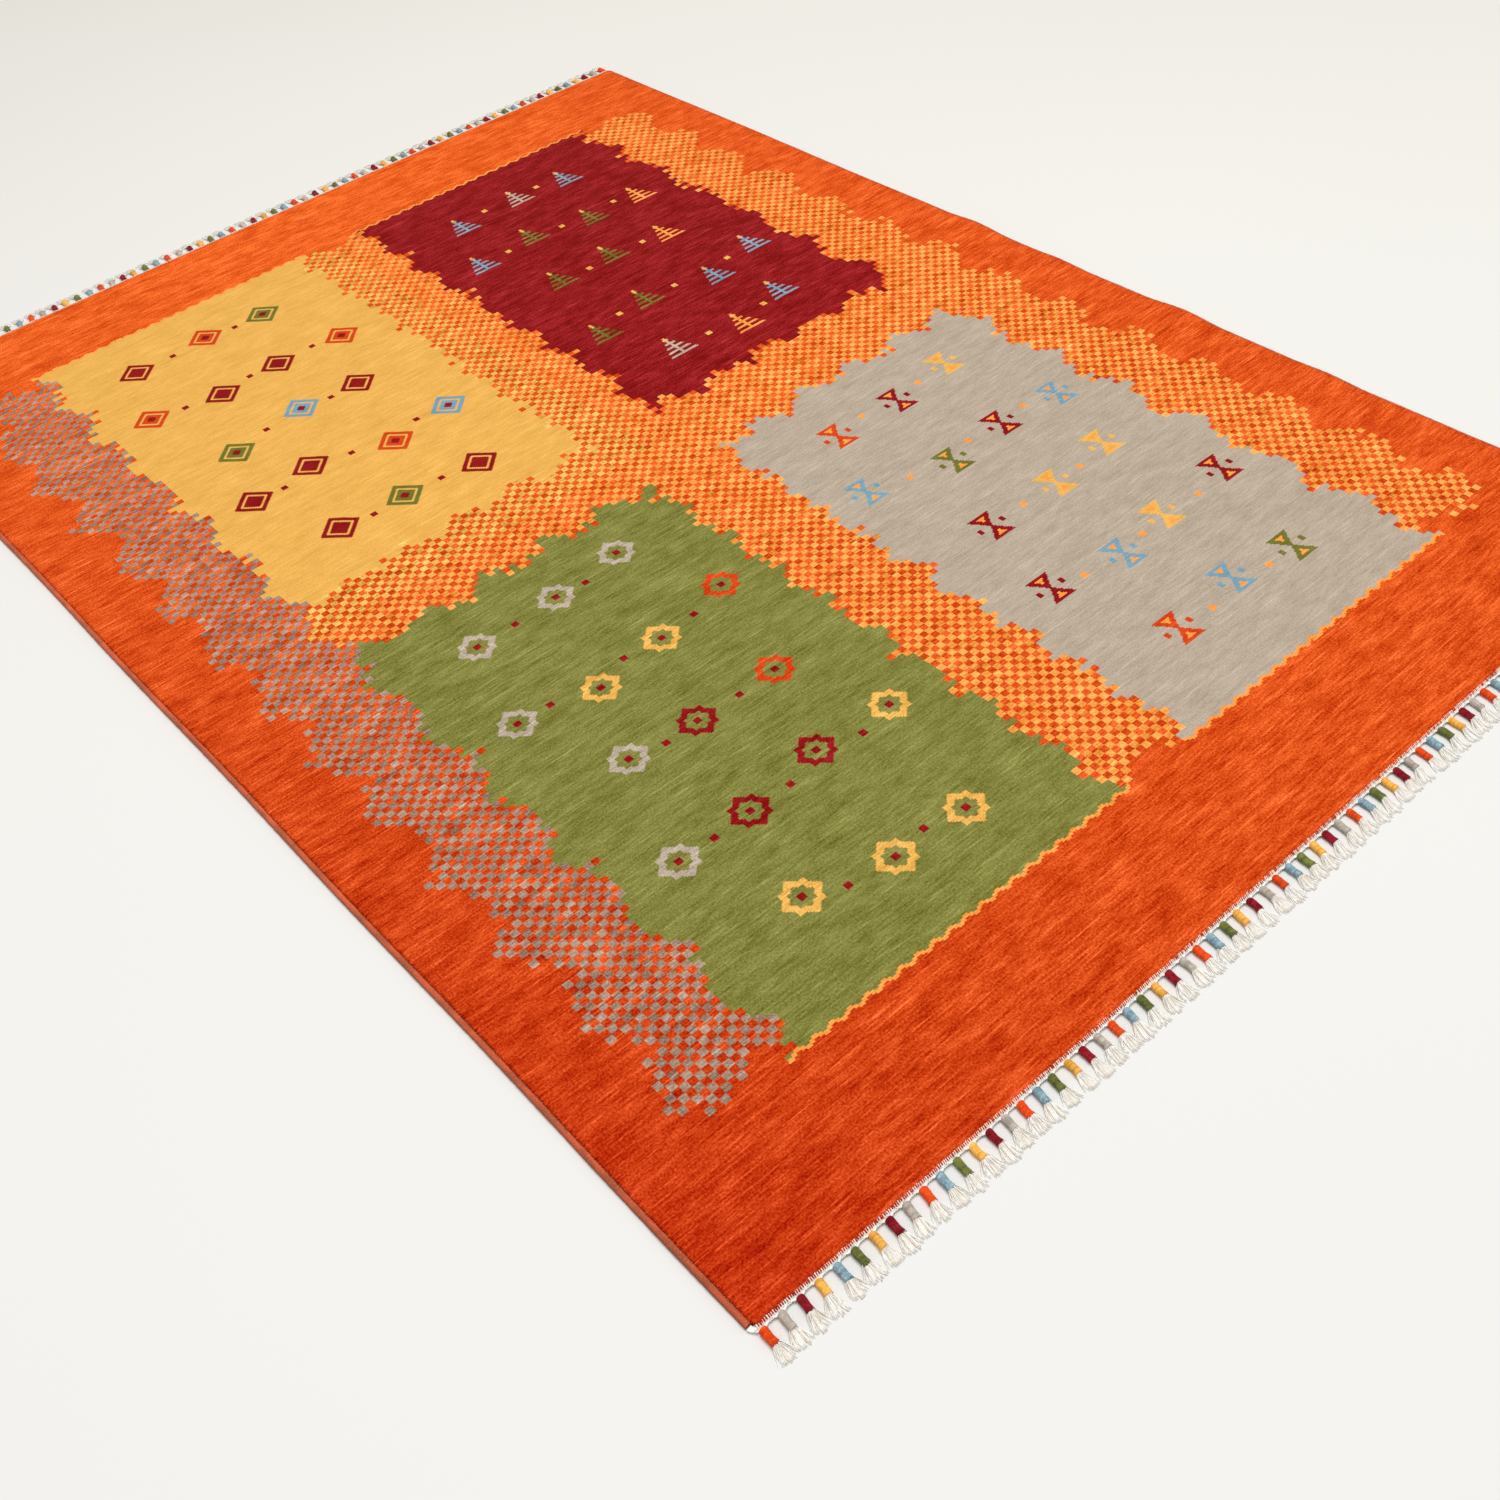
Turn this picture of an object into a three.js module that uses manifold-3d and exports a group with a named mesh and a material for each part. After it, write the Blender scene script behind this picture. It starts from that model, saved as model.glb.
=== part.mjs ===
// A hand-knotted wool rug, 170 by 240 cm, lying flat: a pile field, a wrapped
// cord along each long side, and at each end a narrow twined cotton strip whose
// warps are gathered into wool-wrapped tassels. Millimetres, +Z up. The origin
// is the middle of the footprint on the floor, +Y runs along the long side, and
// the near end is at -Y.
import * as THREE from 'three';
import { mergeVertices } from 'three/addons/utils/BufferGeometryUtils.js';
import Module from 'manifold-3d';

const rugWidth = 1700;
const pileLength = 2400;
const pileThickness = 10;
const seam = 0.3; // clearance between two pieces that are sewn together

const pileColumns = [-1, -0.7, -0.35, 0, 0.35, 0.62, 0.8, 0.92, 1]; // shares of the half width
const pileRows = 64;
const leftCordRows = 32; // the left-hand edge has no ripples to follow
const pileRounding = 2.5; // how far the clipped pile leans in at its top edge

const cordWidth = 9;
const cordHeight = 7;
const cordSides = 8;

const stripWidth = 7.5;
const stripThickness = 2.6;
const stripArch = 1.8; // how far the strip's outer edge draws in between two tassels
const stripInset = 1; // the strip stops this far short of the cords' outer sides
const stripSteps = 40; // along its inner edge

const tasselsPerEnd = 71;
const firstTassel = 12; // from the outer side of the cord to the first tassel
const headRoot = 2; // how much of a wrapped head lies on the strip
// One half of a tassel, from its root along the wrapped head and out to the tip
// of one lock. The widths are measured from the tassel's centre line.
const tasselSections = [
  { along: 0, inner: 0, foot: 3, belly: 5.2, crown: 3, height: 9 },
  { along: 21, inner: 0, foot: 3, belly: 5.2, crown: 3, height: 9 },
  { along: 44.5, inner: 0.6, foot: 8.8, belly: 9.2, crown: 8, height: 2.4 },
];
// The tassels lie turned the same way, each by its own few degrees.
const lean = { usual: 7, slow: 3.2, slowStep: 0.9, quick: 1.6, quickStep: 2.3 };

// How the edges wander from a true rectangle: each bows in towards its corners.
const bowAtCorner = { right: 6, far: 8, near: 4 };
const sideWander = { reach: 0.8, wave: 95 };

// Low ripples where the right-hand edge has not settled on the floor.
const ripples = [
  { y: -660, rise: 2.6, halfLength: 70 },
  { y: -375, rise: 5.2, halfLength: 85 },
  { y: -105, rise: 2.4, halfLength: 70 },
  { y: 95, rise: 4.4, halfLength: 80 },
];
const rippleReach = 180; // how far in from the edge a ripple dies away

const halfWidth = rugWidth / 2;
const halfLength = pileLength / 2;
const pileHalfWidth = halfWidth - cordWidth - seam;
const tasselPitch = (rugWidth - 2 * firstTassel) / (tasselsPerEnd - 1);

const wasm = await Module();
wasm.setup();

function smooth(t) {
  const s = Math.min(1, Math.max(0, t));
  return s * s * (3 - 2 * s);
}

// The height of the ripples at a place in the plain rectangle.
function lift(x, y) {
  const nearEdge = smooth((x - halfWidth + rippleReach) / rippleReach);
  let rise = 0;
  for (const ripple of ripples) {
    const away = Math.abs(y - ripple.y) / ripple.halfLength;
    if (away < 1) rise += ripple.rise * 0.5 * (1 + Math.cos(Math.PI * away));
  }
  return rise * nearEdge;
}

// Where a point of the plain rectangle really lies on the floor.
function lay(x, y) {
  const u = x / halfWidth;
  const v = y / halfLength;
  const side = x > 0 ? -bowAtCorner.right * v * v * smooth(u) : 0;
  const wander = sideWander.reach * Math.sin(y / sideWander.wave) * u * u * Math.sign(u);
  const end = y > 0 ? -bowAtCorner.far * smooth(v) : bowAtCorner.near * smooth(-v);
  return [x + side + wander, y + end * u * u];
}

function layDown(geometry) {
  const points = geometry.attributes.position;
  for (let i = 0; i < points.count; i += 1) {
    const [x, y] = lay(points.getX(i), points.getY(i));
    const z = points.getZ(i) + lift(points.getX(i), points.getY(i));
    points.setXYZ(i, x, y, z);
  }
  return geometry;
}

function closed(geometry) {
  const bare = geometry.index ? geometry.toNonIndexed() : geometry;
  bare.deleteAttribute('normal');
  bare.deleteAttribute('uv');
  return mergeVertices(bare, 1e-4);
}

function toSolid(geometry) {
  const merged = closed(geometry);
  return new wasm.Manifold(new wasm.Mesh({
    numProp: 3,
    vertProperties: new Float32Array(merged.attributes.position.array),
    triVerts: new Uint32Array(merged.index.array),
  }));
}

function fromSolid(solid) {
  const mesh = solid.getMesh();
  const geometry = new THREE.BufferGeometry();
  geometry.setAttribute('position', new THREE.BufferAttribute(new Float32Array(mesh.vertProperties), 3));
  geometry.setIndex(new THREE.BufferAttribute(new Uint32Array(mesh.triVerts), 1));
  return geometry;
}

function named(name, geometry, color, roughness) {
  const shape = closed(geometry);
  shape.computeVertexNormals();
  const material = new THREE.MeshStandardMaterial({ color, roughness, metalness: 0 });
  const mesh = new THREE.Mesh(shape, material);
  mesh.name = name;
  return mesh;
}

// The knotted field with its foundation, one thick sheet with a softened top edge.
function pileField() {
  const columns = pileColumns.length - 1;
  const slab = new THREE.BoxGeometry(2, 2, 2, columns, pileRows, 2);
  const points = slab.attributes.position;
  for (let i = 0; i < points.count; i += 1) {
    const column = Math.round(((points.getX(i) + 1) / 2) * columns);
    const share = pileColumns[column];
    const along = points.getY(i);
    const level = points.getZ(i);
    const lean = level > 0.5 ? pileRounding : 0;
    const x = share * pileHalfWidth - (Math.abs(share) === 1 ? Math.sign(share) * lean : 0);
    const y = along * halfLength - (Math.abs(along) === 1 ? Math.sign(along) * lean : 0);
    const z = level > 0.5 ? pileThickness : (level + 1) * (pileThickness - pileRounding);
    points.setXYZ(i, x, y, z);
  }
  return layDown(slab);
}

// A long side's cord, flattened where it lies on the floor.
function sideCord(side, rows) {
  const cord = new THREE.CylinderGeometry(0.5, 0.5, pileLength, cordSides, rows);
  cord.rotateY(Math.PI / cordSides);
  const points = cord.attributes.position;
  const centre = side * (halfWidth - cordWidth / 2);
  const stretch = 1 / Math.cos(Math.PI / cordSides);
  for (let i = 0; i < points.count; i += 1) {
    const across = points.getX(i) * cordWidth * stretch;
    const up = (points.getZ(i) * stretch + 0.5) * cordHeight;
    points.setXYZ(i, centre + across, points.getY(i), up);
  }
  return layDown(cord);
}

// How far tassel i turns from square to the end, in degrees.
function leanOf(i) {
  const settled = (lean.usual * i) / (i + 1);
  return settled + lean.slow * Math.sin(lean.slowStep * i) + lean.quick * Math.sin(lean.quickStep * i + 1);
}

// Where tassel i stands along its end, counted from that end's own corner.
function tasselPlace(i, end) {
  return end * (halfWidth - firstTassel - i * tasselPitch);
}

// The twined strip, its outer edge drawn in between the tassels.
function stripSolid(end) {
  const inner = end * (halfLength + seam);
  const outer = inner + end * stripWidth;
  const reach = halfWidth - stripInset;
  const outline = [];
  for (let i = 0; i <= stripSteps; i += 1) {
    outline.push(lay(-reach + (2 * reach * i) / stripSteps, inner));
  }
  const stops = [];
  for (let i = 0; i < tasselsPerEnd; i += 1) {
    const x = tasselPlace(i, end);
    stops.push([x, outer]);
    if (i < tasselsPerEnd - 1) stops.push([x - (end * tasselPitch) / 2, outer - end * stripArch]);
  }
  stops.sort((a, b) => b[0] - a[0]);
  stops.unshift([reach, outer - end * stripArch]);
  stops.push([-reach, outer - end * stripArch]);
  for (const [x, y] of stops) outline.push(lay(x, y));
  const shape = new THREE.Shape(outline.map(([x, y]) => new THREE.Vector2(x, y)));
  return toSolid(new THREE.ExtrudeGeometry(shape, { depth: stripThickness, bevelEnabled: false }));
}

// Half of a wrapped head with one of its two cotton locks, lying on the floor
// and running along -Y from the origin.
function halfTassel() {
  const corners = [];
  for (const section of tasselSections) {
    const { along, inner, foot, belly, crown, height } = section;
    const ring = [[inner, 0], [foot, 0], [belly, height / 2], [crown, height], [inner, height]];
    for (const [x, z] of ring) corners.push(x, -along, z);
  }
  const sides = corners.length / 3 / tasselSections.length;
  const faces = [];
  for (let ring = 0; ring < tasselSections.length - 1; ring += 1) {
    for (let i = 0; i < sides; i += 1) {
      const a = ring * sides + i;
      const b = ring * sides + ((i + 1) % sides);
      faces.push(a, b, a + sides, b, b + sides, a + sides);
    }
  }
  const last = (tasselSections.length - 1) * sides;
  for (let i = 1; i < sides - 1; i += 1) {
    faces.push(0, i + 1, i, last, last + i, last + i + 1);
  }
  const form = new THREE.BufferGeometry();
  form.setAttribute('position', new THREE.Float32BufferAttribute(corners, 3));
  form.setIndex(faces);
  return toSolid(form);
}

function fringe(end) {
  const half = halfTassel();
  const tassel = half.add(half.mirror([1, 0, 0]));
  const root = end * (halfLength + seam + stripWidth - headRoot);
  const facing = end > 0 ? 180 : 0;
  let solid = stripSolid(end);
  for (let i = 0; i < tasselsPerEnd; i += 1) {
    const [x, y] = lay(tasselPlace(i, end), root);
    solid = solid.add(tassel.rotate([0, 0, facing - leanOf(i)]).translate([x, y, 0]));
  }
  return fromSolid(solid);
}

const wool = { pile: 0xd4501c, cord: 0xb9583c };
const cotton = 0xece6da;

const rug = new THREE.Group();
rug.add(named('pile_field', pileField(), wool.pile, 0.95));
rug.add(named('cord_left', sideCord(-1, leftCordRows), wool.cord, 0.9));
rug.add(named('cord_right', sideCord(1, pileRows), wool.cord, 0.9));
rug.add(named('fringe_near', fringe(-1), cotton, 0.95));
rug.add(named('fringe_far', fringe(1), cotton, 0.95));

export default rug;
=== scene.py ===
# A hand-knotted wool rug, 170 by 240 cm, lying flat on a pale studio floor.
# Metres, +Z up. The origin is the middle of the footprint, and the near end is at -Y.
import math

import bpy
import numpy as np
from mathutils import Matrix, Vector


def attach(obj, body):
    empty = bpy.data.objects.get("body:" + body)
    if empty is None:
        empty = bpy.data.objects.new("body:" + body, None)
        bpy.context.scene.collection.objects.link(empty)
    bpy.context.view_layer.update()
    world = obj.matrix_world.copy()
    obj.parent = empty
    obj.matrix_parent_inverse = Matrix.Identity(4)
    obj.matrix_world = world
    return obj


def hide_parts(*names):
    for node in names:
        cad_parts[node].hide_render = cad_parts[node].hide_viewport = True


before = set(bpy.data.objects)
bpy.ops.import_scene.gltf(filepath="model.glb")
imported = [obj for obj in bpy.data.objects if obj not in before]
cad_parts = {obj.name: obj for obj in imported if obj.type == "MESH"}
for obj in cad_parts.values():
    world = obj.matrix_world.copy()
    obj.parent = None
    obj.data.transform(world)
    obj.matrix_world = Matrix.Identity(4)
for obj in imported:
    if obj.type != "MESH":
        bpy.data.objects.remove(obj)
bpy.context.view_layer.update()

mm = 0.001
rug = {
    "halfWidth": 850 * mm,
    "halfLength": 1200 * mm,
    "seam": 0.3 * mm,
    "bowRight": 6 * mm,  # how far each edge draws in at its corners
    "bowFar": 8 * mm,
    "bowNear": 4 * mm,
    "wander": 0.8 * mm,
    "wanderWave": 95 * mm,
    "rippleReach": 180 * mm,
}
# Low ripples where the right-hand edge has not settled: place along the edge, rise, half length.
ripples = [(-660, 2.6, 70), (-375, 5.2, 85), (-105, 2.4, 70), (95, 4.4, 80)]


def smooth(t):
    s = np.clip(t, 0.0, 1.0)
    return s * s * (3 - 2 * s)


def lift(x, y):  # the height of the ripples at a place of the plain rectangle
    nearEdge = smooth((x - rug["halfWidth"] + rug["rippleReach"]) / rug["rippleReach"])
    rise = 0.0 * x
    for middle, height, half in ripples:
        away = np.abs(y - middle * mm) / (half * mm)
        hump = 0.5 * (1 + np.cos(np.pi * np.minimum(away, 1)))
        rise = rise + np.where(away < 1, height * mm * hump, 0)
    return rise * nearEdge


def lay(x, y):  # where a point of the plain rectangle lies on the floor
    u = x / rug["halfWidth"]
    v = y / rug["halfLength"]
    side = np.where(x > 0, -rug["bowRight"] * v * v * smooth(u), 0)
    wander = rug["wander"] * np.sin(y / rug["wanderWave"]) * u * u * np.sign(u)
    end = np.where(y > 0, -rug["bowFar"] * smooth(v), rug["bowNear"] * smooth(-v))
    return x + side + wander, y + end * u * u


def layDown(points):
    x, y = lay(points[:, 0], points[:, 1])
    return np.column_stack([x, y, points[:, 2] + lift(points[:, 0], points[:, 1])])


def lattice(x, y, size, seed):  # smooth noise from -1 to 1 with lumps of that size
    dice = np.random.default_rng(seed)
    table = dice.uniform(-1, 1, (257, 257))
    gx = x / size
    gy = y / size
    ix = np.floor(gx).astype(int)
    iy = np.floor(gy).astype(int)
    fx = smooth(gx - ix)
    fy = smooth(gy - iy)
    low = table[ix % 257, iy % 257] * (1 - fx) + table[(ix + 1) % 257, iy % 257] * fx
    high = table[ix % 257, (iy + 1) % 257] * (1 - fx) + table[(ix + 1) % 257, (iy + 1) % 257] * fx
    return low * (1 - fy) + high * fy


# Helpers for meshes

def deselectAll():
    bpy.ops.object.select_all(action="DESELECT")


def readPoints(piece):
    flat = np.empty(len(piece.data.vertices) * 3)
    piece.data.vertices.foreach_get("co", flat)
    return flat.reshape(-1, 3)


def writePoints(piece, points):
    piece.data.vertices.foreach_set("co", np.ascontiguousarray(points).ravel())
    piece.data.update()


def readFaces(piece):
    return [tuple(face.vertices) for face in piece.data.polygons]


def fromArrays(name, points, faces):
    mesh = bpy.data.meshes.new(name)
    mesh.from_pydata(np.asarray(points).tolist(), [], faces)
    mesh.update()
    piece = bpy.data.objects.new(name, mesh)
    bpy.context.scene.collection.objects.link(piece)
    mesh.shade_smooth()
    return piece


def pointValues(piece, name, values):
    layer = piece.data.attributes.new(name, "FLOAT", "POINT")
    layer.data.foreach_set("value", np.asarray(values, dtype=float))


def applyModifiers(piece):
    deselectAll()
    piece.select_set(True)
    bpy.context.view_layer.objects.active = piece
    for modifier in list(piece.modifiers):
        bpy.ops.object.modifier_apply(modifier=modifier.name)


def discard(piece):
    bpy.data.objects.remove(piece, do_unlink=True)


# Closed tubes along many paths at once: paths is strands by rings by 3, radii strands by rings.
def tubes(paths, radii, sides):
    strands, rings = radii.shape
    along = np.gradient(paths, axis=1)
    along /= np.linalg.norm(along, axis=2, keepdims=True)
    across = np.cross(along, [0.0, 0.0, 1.0])
    across /= np.maximum(np.linalg.norm(across, axis=2, keepdims=True), 1e-9)
    over = np.cross(across, along)
    turn = 2 * np.pi * np.arange(sides) / sides
    rim = across[:, :, None] * np.cos(turn)[:, None] + over[:, :, None] * np.sin(turn)[:, None]
    points = (paths[:, :, None] + radii[:, :, None, None] * rim).reshape(-1, 3)
    number = np.arange(strands * rings * sides).reshape(strands, rings, sides)
    here = number[:, :-1]
    further = number[:, 1:]
    nextHere = np.roll(here, -1, axis=2)
    nextFurther = np.roll(further, -1, axis=2)
    walls = np.stack([here, further, nextFurther, nextHere], axis=-1).reshape(-1, 4)
    starts = number[:, 0]
    tips = number[:, -1, ::-1]
    return points, walls.tolist() + starts.tolist() + tips.tolist()


class Bundle:  # points, faces and one number for each point, gathered into one mesh
    def __init__(self):
        self.points = []
        self.faces = []
        self.values = []
        self.count = 0

    def take(self, points, faces, value):
        count = self.count
        self.faces += [tuple(corner + count for corner in face) for face in faces]
        self.points.append(points)
        self.values.append(np.broadcast_to(value, len(points)))
        self.count += len(points)

    def makePiece(self, name):
        piece = fromArrays(name, np.concatenate(self.points), self.faces)
        pointValues(piece, "shade", np.concatenate(self.values))
        return piece


# Helpers for finishes

class Wire:  # a socket of a finish, on which sums can be written
    def __init__(self, finish, socket):
        self.finish = finish
        self.socket = socket

    def maths(self, operation, *values):
        return self.finish.add("ShaderNodeMath", {"operation": operation}, dict(enumerate(values)))

    def __add__(self, other):
        return self.maths("ADD", self, other)

    def __radd__(self, other):
        return self.maths("ADD", other, self)

    def __sub__(self, other):
        return self.maths("SUBTRACT", self, other)

    def __rsub__(self, other):
        return self.maths("SUBTRACT", other, self)

    def __mul__(self, other):
        return self.maths("MULTIPLY", self, other)

    def __rmul__(self, other):
        return self.maths("MULTIPLY", other, self)

    def __truediv__(self, other):
        return self.maths("DIVIDE", self, other)

    def __mod__(self, other):
        return self.maths("FLOORED_MODULO", self, other)

    def __lt__(self, other):
        return self.maths("LESS_THAN", self, other)

    def __gt__(self, other):
        return self.maths("GREATER_THAN", self, other)

    def __and__(self, other):
        return self.maths("MULTIPLY", self, other)

    def __or__(self, other):
        return self.maths("MAXIMUM", self, other)

    def __abs__(self):
        return self.maths("ABSOLUTE", self)

    def __floor__(self):
        return self.maths("FLOOR", self)


class Finish:  # a material made of nodes
    def __init__(self, name, roughness, sheen=0.0, sheenTint=(1, 1, 1, 1), sheenRoughness=0.5):
        self.material = bpy.data.materials.new(name)
        self.material.use_nodes = True
        self.tree = self.material.node_tree
        self.shader = self.tree.nodes["Principled BSDF"]
        self.shader.inputs["Roughness"].default_value = roughness
        self.shader.inputs["Specular IOR Level"].default_value = 0.06
        self.shader.inputs["Sheen Weight"].default_value = sheen
        self.shader.inputs["Sheen Roughness"].default_value = sheenRoughness
        self.shader.inputs["Sheen Tint"].default_value = sheenTint

    def add(self, kind, settings, values, output=0):
        node = self.tree.nodes.new(kind)
        for name, value in settings.items():
            if name == "stops":
                self.setStops(node.color_ramp, value)
            else:
                setattr(node, name, value)
        for name, value in values.items():
            if isinstance(value, Wire):
                self.tree.links.new(value.socket, node.inputs[name])
            else:
                node.inputs[name].default_value = value
        return Wire(self, node.outputs[output])

    def setStops(self, ramp, colours):  # equal steps of plain colours
        ramp.interpolation = "CONSTANT"
        for i, colour in enumerate(colours):
            place = i / len(colours)
            stop = ramp.elements[i] if i < 2 else ramp.elements.new(place)
            stop.position = place
            stop.color = colour

    def mix(self, share, first, second):
        return self.add("ShaderNodeMix", {"data_type": "RGBA"}, {0: share, 6: first, 7: second}, 2)

    def vector(self, operation, *values):
        return self.add("ShaderNodeVectorMath", {"operation": operation}, dict(enumerate(values)))

    def scaled(self, colour, factor):
        settings = {"operation": "SCALE"}
        return self.add("ShaderNodeVectorMath", settings, {"Vector": colour, "Scale": factor})

    def power(self, colour, exponent):
        return self.add("ShaderNodeGamma", {}, {"Color": colour, "Gamma": exponent})

    def objectPlace(self):
        return self.add("ShaderNodeTexCoord", {}, {}, "Object")

    def attribute(self, name):
        return self.add("ShaderNodeAttribute", {"attribute_name": name}, {}, "Fac")

    def split(self, vector):
        node = self.tree.nodes.new("ShaderNodeSeparateXYZ")
        self.tree.links.new(vector.socket, node.inputs[0])
        return [Wire(self, socket) for socket in node.outputs]

    def join(self, x, y, z=0.0):
        return self.add("ShaderNodeCombineXYZ", {}, {0: x, 1: y, 2: z})

    def noise(self, vector, scale, detail=2.0, output=0):
        values = {"Vector": vector, "Scale": scale, "Detail": detail}
        return self.add("ShaderNodeTexNoise", {}, values, output)

    def chance(self, x, y, seed):  # an even random number for each whole x and y
        return self.add("ShaderNodeTexWhiteNoise", {}, {"Vector": self.join(x, y, seed)})

    def paint(self, colour):
        self.tree.links.new(colour.socket, self.shader.inputs["Base Color"])

    def relief(self, height, strength, distance):
        values = {"Height": height, "Strength": strength, "Distance": distance}
        normal = self.add("ShaderNodeBump", {}, values)
        self.tree.links.new(normal.socket, self.shader.inputs["Normal"])


def dye(red, green, blue):  # a screen colour as the light that it stands for
    def linear(value):
        share = value / 255
        return share / 12.92 if share <= 0.04045 else ((share + 0.055) / 1.055) ** 2.4
    return (linear(red), linear(green), linear(blue), 1.0)


# Camera, lights and floor

camera = {
    "lens": 39.253,
    "place": (-1.2107, -1.8102, 1.5030),
    "turn": (44.481, 5.016, -41.329),
}
studio = {
    "sky": (1.0, 0.996, 0.988, 1.0),
    "skyStrength": 0.5,
    "keyPlace": (0.3, -0.6, 7.0),
    "keyAim": (0.0, 0.0, 0.0),
    "keySize": 4.5,
    "keyPower": 338,
    "floorSize": 14,
    # Painted light: the floor is a little lighter at the near left and darker and warmer towards the far
    # right
    "floorNearLit": dye(237, 236, 233),
    "floorFarShaded": dye(235, 231, 222),
}


def makeCamera():
    data = bpy.data.cameras.new("view")
    data.sensor_width = 36
    data.lens = camera["lens"]
    data.clip_start = 0.01
    viewer = bpy.data.objects.new("view", data)
    viewer.location = camera["place"]
    viewer.rotation_euler = [math.radians(angle) for angle in camera["turn"]]
    bpy.context.scene.collection.objects.link(viewer)
    bpy.context.scene.camera = viewer


def makeLights():
    world = bpy.data.worlds.new("studio")
    bpy.context.scene.world = world
    world.use_nodes = True
    sky = world.node_tree.nodes["Background"]
    sky.inputs["Color"].default_value = studio["sky"]
    sky.inputs["Strength"].default_value = studio["skyStrength"]
    data = bpy.data.lights.new("key", "AREA")
    data.size = studio["keySize"]
    data.energy = studio["keyPower"]
    key = bpy.data.objects.new("key", data)
    key.location = studio["keyPlace"]
    away = Vector(studio["keyPlace"]) - Vector(studio["keyAim"])
    key.rotation_euler = away.to_track_quat("Z", "Y").to_euler()
    bpy.context.scene.collection.objects.link(key)
    bpy.context.scene.view_settings.view_transform = "Standard"


def makeFloor():
    deselectAll()
    bpy.ops.mesh.primitive_plane_add(size=studio["floorSize"], location=(0, 0, -0.2 * mm))
    floor = bpy.context.object
    floor.name = "studio_floor"
    finish = Finish("floor", 0.75)
    place = finish.objectPlace()
    x, y, _ = finish.split(place)
    # painted light: the floor's colour follows the fall of the light, lighter near and darker far
    shade = finish.mix(0.3 + 0.15 * x + 0.15 * y, studio["floorNearLit"], studio["floorFarShaded"])
    finish.paint(finish.scaled(shade, 0.985 + 0.03 * finish.noise(place, 0.7)))
    floor.data.materials.append(finish.material)


makeCamera()
makeLights()
makeFloor()
print("camera, lights and floor are made")


# The knotted pile

pile = {
    "halfWidth": rug["halfWidth"] - 9 * mm - rug["seam"],
    "thickness": 10 * mm,
    "columns": 200,
    "rows": 285,
    "underColumns": 40,
    "underRows": 57,
    "leanAtNear": 1.6 * mm,  # how far the cut pile leans out over a strip: its nap runs to the near end
    "leanAtFar": -0.8 * mm,
    "leanAtSide": 0.9 * mm,
    "lump": 0.3 * mm,
    "lumpSize": 17 * mm,
    "swell": 0.5 * mm,
    "swellSize": 150 * mm,
    "rag": 0.7 * mm,
}
# The rim's rings from the top down: how far in, how high, and the share of the lean.
rimRings = [(1.5, 10.0, 0.7), (0.4, 9.2, 1.0), (0.0, 7.6, 0.9), (0.2, 3.6, 0.0), (0.9, 0.0, 0.0)]


def closePile():
    bpy.ops.mesh.primitive_grid_add(
        x_subdivisions=pile["columns"], y_subdivisions=pile["rows"], size=2, location=(0, 0, 0))
    piece = bpy.context.object
    bpy.ops.object.mode_set(mode="EDIT")
    bpy.ops.mesh.select_mode(type="EDGE")
    bpy.ops.mesh.select_all(action="DESELECT")
    bpy.ops.mesh.select_non_manifold()
    for _ in rimRings[1:-1]:
        bpy.ops.mesh.extrude_edges_move(TRANSFORM_OT_translate={"value": (0, 0, -1)})
    bpy.ops.mesh.select_all(action="DESELECT")
    bpy.ops.mesh.primitive_grid_add(
        x_subdivisions=pile["underColumns"], y_subdivisions=pile["underRows"], size=2,
        location=(0, 0, 1 - len(rimRings)))
    bpy.ops.mesh.select_mode(type="EDGE")
    bpy.ops.mesh.select_all(action="DESELECT")
    bpy.ops.mesh.select_non_manifold()
    bpy.ops.mesh.bridge_edge_loops()
    bpy.ops.mesh.select_all(action="SELECT")
    bpy.ops.mesh.normals_make_consistent(inside=False)
    bpy.ops.object.mode_set(mode="OBJECT")
    return piece


def shapePile(piece):
    unit = readPoints(piece)
    ring = np.rint(-unit[:, 2]).astype(int)
    inward, height, lean = np.array(rimRings)[ring].T
    inward = inward * mm
    height = height * mm
    atSide = np.abs(unit[:, 0]) > 1 - 1e-4
    atEnd = np.abs(unit[:, 1]) > 1 - 1e-4
    x = unit[:, 0] * pile["halfWidth"]
    y = unit[:, 1] * rug["halfLength"]
    rag = pile["rag"] * lattice(x * 3 + ring, y * 3 + ring, 7 * mm, 3) * (ring < len(rimRings) - 1)
    atRim = inward + np.abs(rag)
    x = x - np.where(atSide, np.sign(x) * (atRim - lean * pile["leanAtSide"]), 0)
    leanAtEnd = np.where(y < 0, pile["leanAtNear"], pile["leanAtFar"])
    y = y - np.where(atEnd, np.sign(y) * (atRim - lean * leanAtEnd), 0)
    bumps = pile["lump"] * lattice(x, y, pile["lumpSize"], 5)
    swell = pile["swell"] * lattice(x, y, pile["swellSize"], 8)
    height = np.where(ring == 0, height + bumps + swell - 0.3 * mm, height)
    drop = pile["thickness"] - height
    plain = np.column_stack([
        x + np.where(atSide, np.sign(x) * drop, 0),
        y + np.where(atEnd, np.sign(y) * drop, 0)])
    writePoints(piece, layDown(np.column_stack([x, y, height])))
    return plain


# The plain flat place of each corner goes into a UV map, so that the knots lie square.
def mapPile(piece, plain):
    layer = piece.data.uv_layers.new(name="plain")
    corners = np.empty(len(piece.data.loops), dtype=np.int32)
    piece.data.loops.foreach_get("vertex_index", corners)
    layer.data.foreach_set("uv", plain[corners].ravel())


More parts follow.
